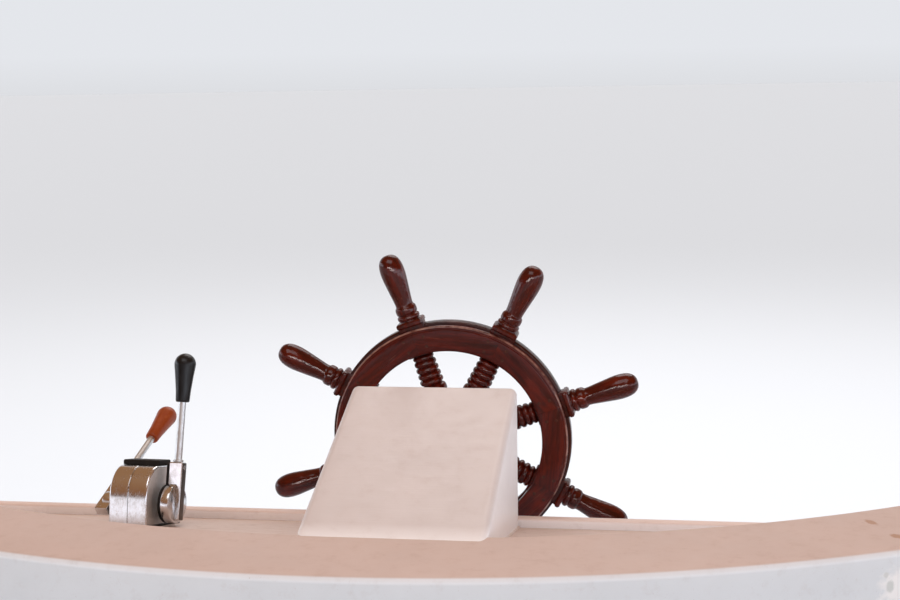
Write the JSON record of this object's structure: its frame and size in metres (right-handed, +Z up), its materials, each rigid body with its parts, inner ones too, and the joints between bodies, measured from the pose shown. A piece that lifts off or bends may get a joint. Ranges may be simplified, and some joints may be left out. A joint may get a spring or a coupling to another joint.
{
  "type": "dhow helm console",
  "caption": "Free-standing steering console of a dhow: spoked wooden wheel on a wedge-shaped cowl, curved coaming with a sloping dash behind it, and a twin-lever engine control.",
  "frame": {"origin": "on the deck in the wheel's middle plane, at the plinth's underside; the console's own middle lies at x = -0.098 m", "axes": "+Z up, -Y towards the bow, +X to the left of a person who stands at the wheel and faces the bow"},
  "size_m": [2.3, 0.8931, 1.2821],
  "materials": {
    "coaming_paint": "semi-gloss",
    "panel_paint": "semi-gloss",
    "plinth_paint": "matte",
    "cowl_paint": "semi-gloss",
    "steel": "satin",
    "wood": "varnished",
    "wood_core": "varnished",
    "brass": "polished",
    "rubber": "matte",
    "chrome": "polished",
    "black_plastic": "gloss",
    "brown_plastic": "satin"
  },
  "bodies": {
    "console": {"coaming_cap": "coaming_paint", "coaming_liner": "coaming_paint", "dash_board": "coaming_paint", "dash_lip": "coaming_paint", "front_shell": "panel_paint", "aft_panel": "panel_paint", "access_cover": "panel_paint", "floor_board": "panel_paint", "plinth": "plinth_paint", "steering_cowl": "cowl_paint", "bearing_flange": "steel", "control_gasket": "rubber", "control_lid": "rubber", "housing_port": "chrome", "housing_starboard": "chrome"},
    "wheel": {"rim_front_ring": "wood", "rim_back_ring": "wood", "hub": "wood", "spoke_1": "wood", "spoke_2": "wood", "spoke_3": "wood", "spoke_4": "wood", "spoke_5": "wood", "spoke_6": "wood", "spoke_7": "wood", "spoke_8": "wood", "felloe_1": "wood_core", "felloe_2": "wood_core", "felloe_3": "wood_core", "felloe_4": "wood_core", "felloe_5": "wood_core", "felloe_6": "wood_core", "felloe_7": "wood_core", "felloe_8": "wood_core", "hub_plate_front": "brass", "hub_plate_aft": "brass", "hub_nut": "brass", "wheel_shaft": "steel"},
    "gear_lever": {"gear_disc": "chrome", "gear_bar": "chrome", "gear_rod": "chrome", "gear_knob": "black_plastic"},
    "throttle_lever": {"throttle_disc": "chrome", "throttle_bar": "chrome", "throttle_rod": "chrome", "throttle_knob": "brown_plastic"}
  },
  "joints": [
    {"name": "wheel_turn", "type": "hinge", "parent": "console", "child": "wheel", "pos_m": [0, 0.4, 0.92], "axis": [0, 0.9976, 0.0698], "range_deg": [-540, 540]},
    {"name": "gear_shift", "type": "hinge", "parent": "console", "child": "gear_lever", "pos_m": [-0.517, 0.07103, 0.86723], "axis": [0.9848, -0.1701, 0.0348], "range_deg": [-35, 35]},
    {"name": "throttle", "type": "hinge", "parent": "console", "child": "throttle_lever", "pos_m": [-0.517, 0.07103, 0.86723], "axis": [0.9848, -0.1701, 0.0348], "range_deg": [0, 95]}
  ]
}
